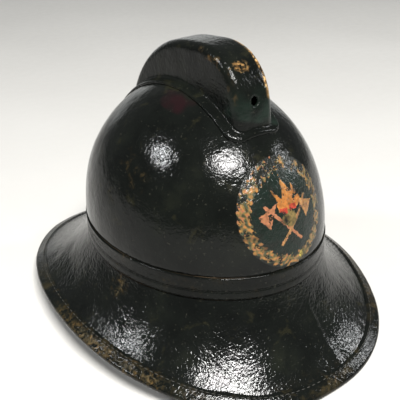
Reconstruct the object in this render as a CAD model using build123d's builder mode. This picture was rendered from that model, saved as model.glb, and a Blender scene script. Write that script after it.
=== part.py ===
from build123d import *
import math
import os

# Leather comb helmet. Millimetres, +Z up, front towards -Y, wearer's left towards +X.
# The origin is on the table plane, under the middle of the overall length and width.

# Driving dimensions
FRONT_REACH = 162.3  # head centre to the front edge of the brim
REAR_REACH = 194.7  # head centre to the rear edge of the brim
HALF_WIDTH = 131.7  # head centre to the side edge of the brim
SIDE_RISE = 18.3  # the brim's edge sweeps up by this at the sides
EDGE_FULLNESS = 0.85  # below 1 squares up the brim's outline a little

CROWN_HALF_LENGTH = 112.0  # outside of the crown at its base
CROWN_HALF_WIDTH = 91.0
CROWN_BASE = 83.6  # level of the groove where the dome meets the hat band
DOME_HEIGHT = 113.7
DOME_POWER = 2.1
CROWN_WALL = 4.5
SKIRT_BOTTOM = 59.0

BAND_BOTTOM = 65.2
BAND_THICKNESS = 1.6
BRIM_ROOT = 61.0  # mid-thickness of the brim where it meets the crown
BRIM_THICKNESS = 3.2
BRIM_SAG_SHARE = 0.07  # hollow of the flare below a straight line, over that line's length
BINDING_RADIUS = 2.8  # rolled edge of the binding
BINDING_LAP = 10.5  # how far the binding laps on to the brim
SEAM_ANGLE = 60  # brim seams, from the front, as an ellipse angle
SECTION_STEP = 10  # angle between the brim's loft sections
ROOT_OVERLAP = 0.06  # share of the flare that starts inside the crown, then is cut back

COMB_HALF_WIDTH = 16.5
COMB_WALL = 3.0
COMB_EDGE_RADIUS = 6.5
COMB_FLANGE = 8.0
COMB_NOSE_FLANGE = 3.5  # the foot flange is shorter in front of the comb's nose
COMB_FLANGE_THICKNESS = 2.2
COMB_FLANGE_CORNER = 12.0
COMB_FLOOR = 140.0  # the comb's block starts here, well inside the crown
VENT_HOLE_DIAMETER = 7.0
VENT_HOLE_HEIGHT = 195.5
CROWN_VENT_DIAMETER = 9.0
CROWN_VENT_SPACING = 24.0

HEAD_HALF_LENGTH = 97.5  # inside of the sweatband
HEAD_HALF_WIDTH = 77.5
SWEATBAND_THICKNESS = 1.5
SWEATBAND_BOTTOM = 58.0
SWEATBAND_TOP = 94.0

TONGUE_COUNT = 8
TONGUE_THICKNESS = 1.5
TONGUE_TOP = 164.0  # level of the liner's crown, outside
TONGUE_HALF_ANGLE = 19.5
TONGUE_TIP_WIDTH = 5.0
TONGUE_TIP_RADIUS = 8.0
TONGUE_BLANK = 1.2  # the flat blank's reach over the liner's, before it is cut to the liner
LINER_LAP = 16.0  # how far the tongues reach down inside the sweatband
DISC_DIAMETER = 44.0
DISC_THICKNESS = 2.0
TONGUE_RIVET_CIRCLE = 15.0

SPACER_WIDTH = 26.0
SPACER_BOTTOM = 66.0
SPACER_TOP = 90.0
RIVET_ANGLES = [0, 55, 125, 180, 235, 305]  # clear of the strap tabs at 90 and 270
RIVET_LEVEL = 74.0
RIVET_DIAMETER = 3.0
RIVET_HEAD_DIAMETER = 7.0
RIVET_HEAD_HEIGHT = 1.0

TAB_WIDTH = 15.0
TAB_THICKNESS = 2.4
TAB_TOP = 82.0
TAB_RIVET_LEVEL = 74.0
RING_WIRE = 2.6
RING_HALF_WIDTH = 10.5
RING_DROP = 15.0
RING_LEVEL = 53.0  # level of the ring's straight bar
RING_BAR_X = 83.9

BINDING_GAP = 0.25
FIT = 0.06  # clearance between pieces that touch
CURVE_FIT = 0.35  # clearance of a flat piece set against a curved wall
CUT_LENGTH = 100.0  # longer than anything it cuts through

HEAD_Y = (FRONT_REACH - REAR_REACH) / 2  # head centre, along the length
BRIM_MID_HALF = BRIM_THICKNESS / 2

os.makedirs("parts", exist_ok=True)


def save(builder, name):
    builder.part.label = name
    export_step(builder.part, f"parts/{name}.step")


def dome_solid(half_length, half_width, height, bottom):
    """Filled elliptical dome on an upright skirt that reaches down to a level."""
    levels = [0, 0.12, 0.25, 0.38, 0.5, 0.62, 0.74, 0.86, 0.95]
    with BuildPart(mode=Mode.PRIVATE) as body:
        with BuildSketch(Plane.XY.offset(bottom)):
            with Locations((0, HEAD_Y)):
                Ellipse(half_width, half_length)
        extrude(amount=CROWN_BASE - bottom)
        rings = []
        for level in levels:
            turn = level * math.pi / 2
            rise = math.sin(turn)
            narrowing = math.sqrt(1 - rise**DOME_POWER)
            with BuildSketch(
                Plane(origin=(0, HEAD_Y, CROWN_BASE + height * rise)), mode=Mode.PRIVATE
            ) as ring:
                Ellipse(half_width * narrowing, half_length * narrowing)
            rings.append(ring.sketch.faces()[0])
        loft(sections=rings + [Vertex(0, HEAD_Y, CROWN_BASE + height)])
    return body.part


def ellipse_tube(half_length, half_width, thickness, bottom, top):
    """Upright elliptical tube; the half sizes are of its inside."""
    with BuildPart(mode=Mode.PRIVATE) as tube:
        with BuildSketch(Plane.XY.offset(bottom)):
            with Locations((0, HEAD_Y)):
                Ellipse(half_width + thickness, half_length + thickness)
                Ellipse(half_width, half_length, mode=Mode.SUBTRACT)
        extrude(amount=top - bottom)
    return tube.part


# ---------------------------------------------------------------- crown
dome_outside = dome_solid(CROWN_HALF_LENGTH, CROWN_HALF_WIDTH, DOME_HEIGHT, SKIRT_BOTTOM)
dome_inside = dome_solid(
    CROWN_HALF_LENGTH - CROWN_WALL,
    CROWN_HALF_WIDTH - CROWN_WALL,
    DOME_HEIGHT - CROWN_WALL,
    SKIRT_BOTTOM,
)


def wall_frame(angle, reach_y, reach_x, level):
    """Plane on an ellipse's wall at an angle from the front, its normal pointing outwards."""
    turn = math.radians(angle)
    spot = (reach_x * math.sin(turn), HEAD_Y - reach_y * math.cos(turn), level)
    normal = (math.sin(turn) / reach_x, -math.cos(turn) / reach_y, 0)
    return Plane(origin=spot, x_dir=(-normal[1], normal[0], 0), z_dir=normal)


WALL_CUT_START = 20.0  # the top vents are cut from this far below the dome's top
WALL_CUT = 25.0  # reaches through the crown's wall from the sweatband, and at the top

with BuildPart() as crown_shell:
    add(dome_outside)
    add(dome_inside, mode=Mode.SUBTRACT)
    for angle in RIVET_ANGLES:
        with BuildSketch(wall_frame(angle, HEAD_HALF_LENGTH, HEAD_HALF_WIDTH, RIVET_LEVEL)):
            Circle(RIVET_DIAMETER / 2 + FIT)
    for side in (-1, 1):
        tab_hole = (side * HEAD_HALF_WIDTH, HEAD_Y, TAB_RIVET_LEVEL)
        with BuildSketch(Plane(origin=tab_hole, z_dir=(side, 0, 0))):
            Circle(RIVET_DIAMETER / 2 + FIT)
    with BuildSketch(Plane.XY.offset(CROWN_BASE + DOME_HEIGHT - WALL_CUT_START)):
        with Locations((0, HEAD_Y)):
            with GridLocations(0, CROWN_VENT_SPACING, 1, 4):
                Circle(CROWN_VENT_DIAMETER / 2)
    extrude(amount=WALL_CUT, mode=Mode.SUBTRACT)
save(crown_shell, "crown_shell")

# ---------------------------------------------------------------- comb
COMB_REAR_FOOT = (HEAD_Y + 78, 163)
COMB_CREST = [
    COMB_REAR_FOOT,
    (HEAD_Y + 64, 192),
    (HEAD_Y + 43, 212),
    (HEAD_Y + 19, 224.5),
    (HEAD_Y - 8, 229),
    (HEAD_Y - 38, 227.5),
    (HEAD_Y - 58, 214),
    (HEAD_Y - 66, 198),
    (HEAD_Y - 69, 176),
]


def comb_block(inset):
    """The comb as a filled block, set in by a wall thickness."""
    crest = []
    for index, point in enumerate(COMB_CREST):
        before = Vector(*COMB_CREST[max(index - 1, 0)])
        after = Vector(*COMB_CREST[min(index + 1, len(COMB_CREST) - 1)])
        inward = (after - before).normalized().rotate(Axis.Z, 90)
        crest.append((point[0] + inset * inward.X, point[1] + inset * inward.Y))
    with BuildPart(mode=Mode.PRIVATE) as block:
        with BuildSketch(Plane.YZ.offset(inset - COMB_HALF_WIDTH)):
            with BuildLine():
                Spline(crest)
                Polyline(crest[-1], (crest[-1][0], COMB_FLOOR), (crest[0][0], COMB_FLOOR), crest[0])
            make_face()
        extrude(amount=2 * (COMB_HALF_WIDTH - inset))
        if not inset:
            crest_edges = faces().filter_by(Axis.X).edges().filter_by(GeomType.BSPLINE)
            fillet(crest_edges, radius=COMB_EDGE_RADIUS)
    return block.part


with BuildPart() as comb_flange:
    flange_rear = COMB_REAR_FOOT[0] + COMB_FLANGE
    flange_front = COMB_CREST[-1][0] - COMB_NOSE_FLANGE
    with BuildSketch(Plane.XY.offset(COMB_FLOOR)):
        with Locations((0, (flange_rear + flange_front) / 2)):
            RectangleRounded(
                2 * (COMB_HALF_WIDTH + COMB_FLANGE),
                flange_rear - flange_front,
                COMB_FLANGE_CORNER,
            )
    extrude(amount=CUT_LENGTH)
    # The foot flange follows the dome, so its top is a dome that is a little larger.
    add(
        dome_solid(
            CROWN_HALF_LENGTH + COMB_FLANGE_THICKNESS,
            CROWN_HALF_WIDTH + COMB_FLANGE_THICKNESS,
            DOME_HEIGHT + COMB_FLANGE_THICKNESS,
            SKIRT_BOTTOM,
        ),
        mode=Mode.INTERSECT,
    )

with BuildPart() as comb_shell:
    add(comb_block(0))
    add(comb_flange.part)
    add(comb_block(COMB_WALL), mode=Mode.SUBTRACT)
    add(dome_outside, mode=Mode.SUBTRACT)
    with BuildSketch(Plane.XZ.offset(-HEAD_Y)):
        with Locations((0, VENT_HOLE_HEIGHT)):
            Circle(VENT_HOLE_DIAMETER / 2)
    extrude(amount=CUT_LENGTH, mode=Mode.SUBTRACT)
save(comb_shell, "comb_shell")


# ---------------------------------------------------------------- brim
def flare(angle):
    """Where the brim's mid-thickness runs at an angle from the front: its plane, centre and arc."""
    turn = math.radians(angle)
    side, fore = math.sin(turn), math.cos(turn)
    root = Vector(CROWN_HALF_WIDTH * side, HEAD_Y - CROWN_HALF_LENGTH * fore, 0)
    reach = FRONT_REACH if fore > 0 else REAR_REACH
    outline_x = HALF_WIDTH * math.copysign(abs(side) ** EDGE_FULLNESS, side)
    edge = Vector(outline_x, HEAD_Y - reach * fore, 0)
    outward = (edge - root).normalized()
    span = (edge - root).length - BINDING_RADIUS
    drop = SIDE_RISE * (1 - fore**2) + BINDING_RADIUS - BRIM_ROOT
    across = outward.cross(Vector(0, 0, 1))
    plane = Plane(origin=root + Vector(0, 0, BRIM_ROOT), x_dir=outward, z_dir=across)
    chord = math.hypot(span, drop)
    sag = BRIM_SAG_SHARE * chord
    radius = (chord**2 / 4 + sag**2) / (2 * sag)
    rise = radius - sag
    centre = Vector(span / 2 - rise * drop / chord, drop / 2 + rise * span / chord)
    start = math.atan2(-centre.Y, -centre.X)
    end = math.atan2(drop - centre.Y, span - centre.X)
    return plane, centre, radius, start, end


def strip_points(shape, half_thickness, first_share, last_share):
    """Upper and lower edges of a strip along the flare, three points to each arc."""
    plane, centre, radius, start, end = shape
    shares = [first_share, (first_share + last_share) / 2, last_share]
    rows = []
    for distance in (radius - half_thickness, radius + half_thickness):
        turns = [start + (end - start) * share for share in shares]
        rows.append(
            [(centre.X + distance * math.cos(t), centre.Y + distance * math.sin(t)) for t in turns]
        )
    return rows


def brim_section(angle):
    """The brim's own leather, from just inside the crown's wall to just short of the edge."""
    shape = flare(angle)
    upper, lower = strip_points(shape, BRIM_MID_HALF, -ROOT_OVERLAP, 1)
    with BuildSketch(shape[0], mode=Mode.PRIVATE) as section:
        with BuildLine():
            ThreePointArc(*upper)
            Line(upper[2], lower[2])
            ThreePointArc(*lower)
            Line(lower[0], upper[0])
        make_face()
    return section.sketch.faces()[0]


def binding_section(angle):
    """Folded strip round the brim's edge: open towards the crown, rounded outside."""
    shape = flare(angle)
    end = shape[4]
    arc_length = shape[2] * (end - shape[3])
    first_share = 1 - BINDING_LAP / arc_length
    upper, lower = strip_points(shape, BINDING_RADIUS, first_share, 1)
    inner_upper, inner_lower = strip_points(
        shape, BRIM_MID_HALF + BINDING_GAP, first_share, 1 + BINDING_GAP / arc_length
    )
    nose = (
        (upper[2][0] + lower[2][0]) / 2 - BINDING_RADIUS * math.sin(end),
        (upper[2][1] + lower[2][1]) / 2 + BINDING_RADIUS * math.cos(end),
    )
    with BuildSketch(shape[0], mode=Mode.PRIVATE) as section:
        with BuildLine():
            ThreePointArc(*upper)
            ThreePointArc(upper[2], nose, lower[2])
            ThreePointArc(*lower)
            Line(lower[0], inner_lower[0])
            ThreePointArc(*inner_lower)
            Line(inner_lower[2], inner_upper[2])
            ThreePointArc(*inner_upper)
            Line(inner_upper[0], upper[0])
        make_face()
    return section.sketch.faces()[0]


with BuildPart() as crown_core:
    with BuildSketch():
        with Locations((0, HEAD_Y)):
            Ellipse(CROWN_HALF_WIDTH + FIT, CROWN_HALF_LENGTH + FIT)
    extrude(amount=CUT_LENGTH)

front_angles = list(range(0, SEAM_ANGLE + 1, SECTION_STEP))
rear_angles = list(range(SEAM_ANGLE, 181, SECTION_STEP))

for brim_name, binding_name, angles in (
    ("front_peak", "edge_binding_front", front_angles),
    ("neck_guard", "edge_binding_rear", rear_angles),
):
    with BuildPart() as brim:
        loft(sections=[brim_section(a) for a in angles])
        add(crown_core.part, mode=Mode.SUBTRACT)
        mirror(about=Plane.YZ)
    save(brim, brim_name)
    with BuildPart() as binding:
        loft(sections=[binding_section(a) for a in angles])
        mirror(about=Plane.YZ)
    save(binding, binding_name)

# ---------------------------------------------------------------- hat band
with BuildPart() as hat_band:
    add(
        ellipse_tube(
            CROWN_HALF_LENGTH + FIT,
            CROWN_HALF_WIDTH + FIT,
            BAND_THICKNESS,
            BAND_BOTTOM,
            CROWN_BASE,
        )
    )
save(hat_band, "hat_band")

# ---------------------------------------------------------------- sweatband and spacers
with BuildPart() as sweatband:
    add(
        ellipse_tube(
            HEAD_HALF_LENGTH, HEAD_HALF_WIDTH, SWEATBAND_THICKNESS, SWEATBAND_BOTTOM, SWEATBAND_TOP
        )
    )
    for angle in RIVET_ANGLES:
        with BuildSketch(wall_frame(angle, HEAD_HALF_LENGTH, HEAD_HALF_WIDTH, RIVET_LEVEL)):
            Circle(RIVET_DIAMETER / 2 + FIT)
    extrude(amount=2 * SWEATBAND_THICKNESS, both=True, mode=Mode.SUBTRACT)
save(sweatband, "sweatband")

BACK_HALF_LENGTH = HEAD_HALF_LENGTH + SWEATBAND_THICKNESS + FIT
BACK_HALF_WIDTH = HEAD_HALF_WIDTH + SWEATBAND_THICKNESS + FIT
SPACER_DEPTH = CROWN_HALF_WIDTH - CROWN_WALL - FIT - BACK_HALF_WIDTH

for number, angle in enumerate(RIVET_ANGLES, start=1):
    with BuildPart() as spacer:
        add(
            ellipse_tube(
                BACK_HALF_LENGTH, BACK_HALF_WIDTH, SPACER_DEPTH, SPACER_BOTTOM, SPACER_TOP
            )
        )
        frame = wall_frame(angle, HEAD_HALF_LENGTH, HEAD_HALF_WIDTH, RIVET_LEVEL)
        with BuildSketch(frame):
            Rectangle(SPACER_WIDTH, CUT_LENGTH)
        extrude(amount=WALL_CUT, both=True, mode=Mode.INTERSECT)
        with BuildSketch(frame):
            Circle(RIVET_DIAMETER / 2 + FIT)
        extrude(amount=WALL_CUT, mode=Mode.SUBTRACT)
    save(spacer, f"cork_spacer_{number}")

HEAD_LIFT = 0.4  # flat rivet heads stand off the curved sweatband by this
SHANK_LAP = 0.2  # the shank reaches into the head by this
SHANK_LENGTH = 13.5  # from the head to just inside the crown's outer face

with BuildPart() as headband_rivets:
    for angle in RIVET_ANGLES:
        frame = wall_frame(angle, HEAD_HALF_LENGTH, HEAD_HALF_WIDTH, RIVET_LEVEL)
        with BuildSketch(frame.offset(-RIVET_HEAD_HEIGHT - HEAD_LIFT)):
            Circle(RIVET_HEAD_DIAMETER / 2)
        extrude(amount=RIVET_HEAD_HEIGHT)
        with BuildSketch(frame.offset(-HEAD_LIFT - SHANK_LAP)):
            Circle(RIVET_DIAMETER / 2)
        extrude(amount=SHANK_LENGTH)
save(headband_rivets, "headband_rivets")

# ---------------------------------------------------------------- liner tongues and crown disc
LINER_HALF_LENGTH = HEAD_HALF_LENGTH - FIT
LINER_HALF_WIDTH = HEAD_HALF_WIDTH - FIT
LINER_HEIGHT = TONGUE_TOP - CROWN_BASE
LINER_BOTTOM = SWEATBAND_TOP - LINER_LAP
with BuildPart() as liner_skin:
    add(dome_solid(LINER_HALF_LENGTH, LINER_HALF_WIDTH, LINER_HEIGHT, LINER_BOTTOM))
    add(
        dome_solid(
            LINER_HALF_LENGTH - TONGUE_THICKNESS,
            LINER_HALF_WIDTH - TONGUE_THICKNESS,
            LINER_HEIGHT - TONGUE_THICKNESS,
            LINER_BOTTOM,
        ),
        mode=Mode.SUBTRACT,
    )

tongue_angles = [(i + 0.5) * 360 / TONGUE_COUNT for i in range(TONGUE_COUNT)]


def liner_heading(angle):
    """Horizontal vector from the head's centre to the liner at an ellipse angle."""
    turn = math.radians(angle)
    return Vector(LINER_HALF_WIDTH * math.sin(turn), -LINER_HALF_LENGTH * math.cos(turn), 0)


rivet_spots = []
for number, angle in enumerate(tongue_angles, start=1):
    centre = Vector(0, HEAD_Y, 0)
    heading = liner_heading(angle).normalized()
    aside = heading.cross(Vector(0, 0, 1)) * (TONGUE_TIP_WIDTH / 2)
    tip = centre + heading * TONGUE_TIP_RADIUS
    roots = [
        centre + liner_heading(angle + turn_by) * TONGUE_BLANK
        for turn_by in (-TONGUE_HALF_ANGLE, TONGUE_HALF_ANGLE)
    ]
    rivet_spot = centre + heading * TONGUE_RIVET_CIRCLE
    rivet_spots.append((rivet_spot.X, rivet_spot.Y))
    with BuildPart() as tongue:
        with BuildSketch(Plane.XY.offset(LINER_BOTTOM)):
            with BuildLine():
                corners = [tip + aside, roots[0], roots[1], tip - aside]
                Polyline([(c.X, c.Y) for c in corners], close=True)
            make_face()
            with Locations(rivet_spots[-1]):
                Circle(RIVET_DIAMETER / 2 + FIT, mode=Mode.SUBTRACT)
        extrude(amount=CUT_LENGTH)
        add(liner_skin.part, mode=Mode.INTERSECT)
    save(tongue, f"liner_tongue_{number}")

DISC_BOTTOM = TONGUE_TOP + FIT
with BuildPart() as crown_disc:
    with BuildSketch(Plane.XY.offset(DISC_BOTTOM)):
        with Locations((0, HEAD_Y)):
            Circle(DISC_DIAMETER / 2)
        with Locations(*rivet_spots):
            Circle(RIVET_DIAMETER / 2 + FIT, mode=Mode.SUBTRACT)
    extrude(amount=DISC_THICKNESS)
save(crown_disc, "crown_disc")

TONGUE_RIVET_REACH = 4.0  # the shanks stand below the tongues' dished tips by this
RIVET_FOOT = TONGUE_TOP - TONGUE_THICKNESS - TONGUE_RIVET_REACH
with BuildPart() as tongue_rivets:
    with BuildSketch(Plane.XY.offset(RIVET_FOOT)):
        with Locations(*rivet_spots):
            Circle(RIVET_DIAMETER / 2)
    extrude(amount=DISC_BOTTOM + DISC_THICKNESS + FIT - RIVET_FOOT)
    with BuildSketch(Plane.XY.offset(DISC_BOTTOM + DISC_THICKNESS + FIT)):
        with Locations(*rivet_spots):
            Circle(RIVET_HEAD_DIAMETER / 2)
    extrude(amount=RIVET_HEAD_HEIGHT)
save(tongue_rivets, "tongue_rivets")

# ---------------------------------------------------------------- chin strap tabs and rings
TAB_LOOP_RADIUS = RING_WIRE / 2 + FIT
TAB_FACE_X = CROWN_HALF_WIDTH - CROWN_WALL - CURVE_FIT
TAB_OUTER_RADIUS = TAB_FACE_X - RING_BAR_X
with BuildPart() as tab_rivets:
    for side in (-1, 1):
        inner_face = side * (TAB_FACE_X - TAB_THICKNESS - FIT)
        outwards = (side, 0, 0)
        with BuildSketch(Plane(origin=(inner_face, HEAD_Y, TAB_RIVET_LEVEL), z_dir=outwards)):
            Circle(RIVET_DIAMETER / 2)
        extrude(amount=CROWN_WALL + TAB_THICKNESS)
        with BuildSketch(
            Plane(origin=(inner_face, HEAD_Y, TAB_RIVET_LEVEL), z_dir=(-side, 0, 0))
        ):
            Circle(RIVET_HEAD_DIAMETER / 2)
        extrude(amount=RIVET_HEAD_HEIGHT)
save(tab_rivets, "tab_rivets")

for side, hand in ((-1, "right"), (1, "left")):
    bar_x = side * RING_BAR_X
    with BuildPart() as tab:
        with BuildSketch(Plane.XZ.offset(-HEAD_Y)):
            with Locations((bar_x, RING_LEVEL)):
                Circle(TAB_OUTER_RADIUS)
            tab_middle = (side * (TAB_FACE_X - TAB_THICKNESS / 2), (TAB_TOP + RING_LEVEL) / 2)
            with Locations(tab_middle):
                Rectangle(TAB_THICKNESS, TAB_TOP - RING_LEVEL)
            with Locations((bar_x, RING_LEVEL)):
                Circle(TAB_LOOP_RADIUS, mode=Mode.SUBTRACT)
        extrude(amount=TAB_WIDTH / 2, both=True)
        with BuildSketch(Plane(origin=(0, HEAD_Y, TAB_RIVET_LEVEL), z_dir=(side, 0, 0))):
            Circle(RIVET_DIAMETER / 2 + FIT)
        extrude(amount=CROWN_HALF_WIDTH, mode=Mode.SUBTRACT)
    save(tab, f"strap_tab_{hand}")

    with BuildPart() as ring:
        bow_start = RING_LEVEL - RING_DROP + RING_HALF_WIDTH
        near_y = HEAD_Y - RING_HALF_WIDTH
        far_y = HEAD_Y + RING_HALF_WIDTH
        with BuildLine(Plane.YZ.offset(bar_x)) as bow:
            Line((near_y, RING_LEVEL), (near_y, bow_start))
            ThreePointArc(
                (near_y, bow_start), (HEAD_Y, RING_LEVEL - RING_DROP), (far_y, bow_start)
            )
            Line((far_y, bow_start), (far_y, RING_LEVEL))
        with BuildSketch(Plane(origin=(bar_x, near_y, RING_LEVEL), z_dir=(0, 0, -1))):
            Circle(RING_WIRE / 2)
        sweep(path=bow.wires()[0])
        with BuildSketch(Plane(origin=(bar_x, near_y, RING_LEVEL), z_dir=(0, 1, 0))):
            Circle(RING_WIRE / 2)
        extrude(amount=2 * RING_HALF_WIDTH)
        with Locations((bar_x, near_y, RING_LEVEL), (bar_x, far_y, RING_LEVEL)):
            Sphere(RING_WIRE / 2)
    save(ring, f"strap_ring_{hand}")
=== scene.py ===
import math
from collections import namedtuple

import bmesh
import bpy
import numpy as np
from mathutils import Matrix, Vector, noise


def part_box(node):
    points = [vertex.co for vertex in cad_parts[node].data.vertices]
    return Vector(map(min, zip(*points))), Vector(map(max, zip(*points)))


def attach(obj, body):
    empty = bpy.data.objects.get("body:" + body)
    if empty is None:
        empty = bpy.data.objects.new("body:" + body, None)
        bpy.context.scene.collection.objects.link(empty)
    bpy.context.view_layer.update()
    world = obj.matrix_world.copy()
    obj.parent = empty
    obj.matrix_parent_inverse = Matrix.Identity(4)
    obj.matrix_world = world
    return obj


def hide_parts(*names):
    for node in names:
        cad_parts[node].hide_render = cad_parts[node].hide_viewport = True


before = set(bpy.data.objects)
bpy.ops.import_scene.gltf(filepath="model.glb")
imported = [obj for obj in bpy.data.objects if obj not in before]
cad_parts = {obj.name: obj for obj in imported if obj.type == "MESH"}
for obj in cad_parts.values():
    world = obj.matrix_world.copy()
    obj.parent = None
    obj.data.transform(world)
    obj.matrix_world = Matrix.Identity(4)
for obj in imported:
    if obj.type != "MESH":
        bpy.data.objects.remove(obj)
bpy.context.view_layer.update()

BODY = "helmet"
MM = 0.001

# ---- sizes read from the frame
crown_lo, crown_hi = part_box("crown_shell")
band_lo, band_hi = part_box("hat_band")
front_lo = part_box("edge_binding_front")[0]
rear_lo, rear_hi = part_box("edge_binding_rear")
sweat_lo, sweat_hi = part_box("sweatband")
comb_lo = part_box("comb_shell")[0]
disc_lo, disc_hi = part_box("crown_disc")

HEAD_Y = (crown_lo[1] + crown_hi[1]) / 2
HALF_LENGTH = (crown_hi[1] - crown_lo[1]) / 2
HALF_WIDTH = (crown_hi[0] - crown_lo[0]) / 2
CROWN_BASE = band_hi[2]
DOME_HEIGHT = crown_hi[2] - CROWN_BASE
FRONT_REACH = HEAD_Y - front_lo[1]
REAR_REACH = rear_hi[1] - HEAD_Y
BRIM_HALF_WIDTH = rear_hi[0]

# Sizes that the CAD file also names, in metres.
DOME_POWER = 2.1
SIDE_RISE = 18.3 * MM
EDGE_FULLNESS = 0.85
BRIM_ROOT = 61.0 * MM
BRIM_MID_HALF = 1.6 * MM
BRIM_SAG_SHARE = 0.07
BINDING_RADIUS = 2.8 * MM
BINDING_LAP = 10.5 * MM
SEAM_ANGLE = 60.0
TONGUE_COUNT = 8
TONGUE_THICKNESS = 1.5 * MM
TONGUE_HALF_ANGLE = 19.5
TONGUE_TIP_RADIUS = 8 * MM
TONGUE_RIVET_CIRCLE = 15 * MM
SWEATBAND_THICKNESS = 1.5 * MM
SPACER_ANGLES = [0, 55, 125, 180, 235, 305]
SHANK_RADIUS = 1.5 * MM
TAB_THICKNESS = 2.4 * MM


# ---- mesh helpers
SHARP_ANGLE = math.radians(65)


def clamp(value, low=0.0, high=1.0):
    return max(low, min(high, value))


def heading(azimuth, elevation):
    """Direction by degrees from the front, positive to the wearer's left, and degrees up."""
    turn, lift = math.radians(azimuth), math.radians(elevation)
    level = math.cos(lift)
    return Vector((math.sin(turn) * level, -math.cos(turn) * level, math.sin(lift)))


def plain_piece(name, points, faces, material):
    """Smooth-shaded mesh piece that rides on the helmet."""
    mesh = bpy.data.meshes.new(name)
    mesh.from_pydata([tuple(p) for p in points], [], faces)
    mesh.update()
    for polygon in mesh.polygons:
        polygon.use_smooth = True
    mesh.materials.append(material)
    piece = bpy.data.objects.new(name, mesh)
    bpy.context.scene.collection.objects.link(piece)
    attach(piece, BODY)
    return piece


def new_piece(name, points, faces, material):
    """The same, with doubled points merged, normals turned outwards and hard edges sharp."""
    piece = plain_piece(name, points, faces, material)
    merge_points(piece.data, 1e-7, fix_normals=True)
    piece.data.set_sharp_from_angle(angle=SHARP_ANGLE)
    return piece


def merge_points(mesh, distance, fix_normals=False):
    build = bmesh.new()
    build.from_mesh(mesh)
    bmesh.ops.remove_doubles(build, verts=build.verts, dist=distance)
    if fix_normals:
        bmesh.ops.recalc_face_normals(build, faces=build.faces)
    build.to_mesh(mesh)
    build.free()


def grid_faces(rows, columns, wrap_rows=False, wrap_columns=False):
    """Quads of a grid whose points are stored row by row."""
    faces = []
    for row in range(rows if wrap_rows else rows - 1):
        below = (row + 1) % rows
        for column in range(columns if wrap_columns else columns - 1):
            right = (column + 1) % columns
            upper, lower = row * columns, below * columns
            faces.append((upper + column, upper + right, lower + right, lower + column))
    return faces


def closed_skin(outer, loop, count):
    """Faces of a skin of two layers of points: the outer ones, the inner ones and the rim's."""
    inner = [tuple(count + index for index in reversed(face)) for face in outer]
    rim = [(a, b, count + b, count + a) for a, b in zip(loop, loop[1:] + loop[:1])]
    return outer + inner + rim


def ripple(point, wavelength, height, shift=0.0):
    """Smooth uneven height at a point, to be added along a normal."""
    spot = Vector(point) / wavelength
    return height * noise.noise(spot + Vector((shift, 0, 0)))


def leather_relief(point, shift=0.0):
    """Dents, hammer-like hollows and the coarse grain of old varnished leather."""
    return (
        ripple(point, 45 * MM, 0.7 * MM, shift)
        + ripple(point, 14 * MM, 0.22 * MM, shift + 7)
        + ripple(point, 5 * MM, 0.10 * MM, shift + 13)
        + ripple(point, 2.4 * MM, 0.05 * MM, shift + 29)
    )


def paint_attribute(piece, name, share_at):
    """Store one grey per vertex, worked out from where the vertex is."""
    mesh = piece.data
    layer = mesh.color_attributes.new(name=name, type="FLOAT_COLOR", domain="POINT")
    values = np.ones((len(mesh.vertices), 4), dtype=np.float32)
    for vertex in mesh.vertices:
        values[vertex.index, :3] = share_at(vertex.co)
    layer.data.foreach_set("color", values.ravel())


# ---- materials
class Nodes:
    """Short way to build a material's node tree."""

    def __init__(self, name):
        self.material = bpy.data.materials.new(name)
        self.material.use_nodes = True
        self.tree = self.material.node_tree
        self.shader = self.tree.nodes["Principled BSDF"]
        self.coords = self.tree.nodes.new("ShaderNodeTexCoord").outputs["Object"]

    def feed(self, socket, value):
        """Set a socket to a number or a colour, or link another node's output to it."""
        if isinstance(value, (int, float)):
            socket.default_value = value
        elif isinstance(value, tuple):
            socket.default_value = (*value, 1.0)
        else:
            self.tree.links.new(value, socket)

    def node(self, kind, **inputs):
        node = self.tree.nodes.new(kind)
        for name, value in inputs.items():
            self.feed(node.inputs[name.replace("_", " ")], value)
        return node

    def noise(self, scale, detail=4.0, roughness=0.55, distortion=0.0):
        sizes = {"Detail": detail, "Roughness": roughness, "Distortion": distortion}
        node = self.node("ShaderNodeTexNoise", Vector=self.coords, Scale=scale, **sizes)
        return node.outputs["Fac"]

    def voronoi(self, scale, feature="F1"):
        node = self.node("ShaderNodeTexVoronoi", Vector=self.coords)
        node.feature = feature
        node.inputs["Scale"].default_value = scale
        return node.outputs["Distance"]

    def ramp(self, source, positions, colours):
        node = self.node("ShaderNodeValToRGB", Fac=source)
        ramp = node.color_ramp
        while len(ramp.elements) < len(positions):
            ramp.elements.new(0.5)
        for element, position, colour in zip(ramp.elements, positions, colours):
            element.position = position
            element.color = (*colour, 1.0)
        return node.outputs["Color"]

    def steps(self, source, low, high, out_low=0.0, out_high=1.0):
        limits = {"From_Min": low, "From_Max": high, "To_Min": out_low, "To_Max": out_high}
        return self.node("ShaderNodeMapRange", Value=source, **limits).outputs["Result"]

    def maths(self, operation, first, second):
        node = self.node("ShaderNodeMath")
        node.operation = operation
        for socket, value in zip(node.inputs, (first, second)):
            self.feed(socket, value)
        return node.outputs["Value"]

    def mix(self, factor, first, second):
        node = self.node("ShaderNodeMix")
        node.data_type = "RGBA"
        for index, value in ((0, factor), (6, first), (7, second)):  # the colour sockets
            self.feed(node.inputs[index], value)
        return node.outputs[2]

    def attribute(self, name):
        node = self.node("ShaderNodeAttribute")
        node.attribute_name = name
        return node.outputs["Color"]

    def bump(self, height, distance, strength=1.0, below=None):
        node = self.node("ShaderNodeBump", Height=height, Distance=distance, Strength=strength)
        if below is not None:
            self.feed(node.inputs["Normal"], below)
        return node.outputs["Normal"]

    def finish(self, colour, roughness, normal, **constants):
        links = {"Base Color": colour, "Roughness": roughness, "Normal": normal}
        for name, source in links.items():
            self.feed(self.shader.inputs[name], source)
        for name, value in constants.items():
            self.shader.inputs[name.replace("_", " ")].default_value = value
        return self.material


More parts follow.
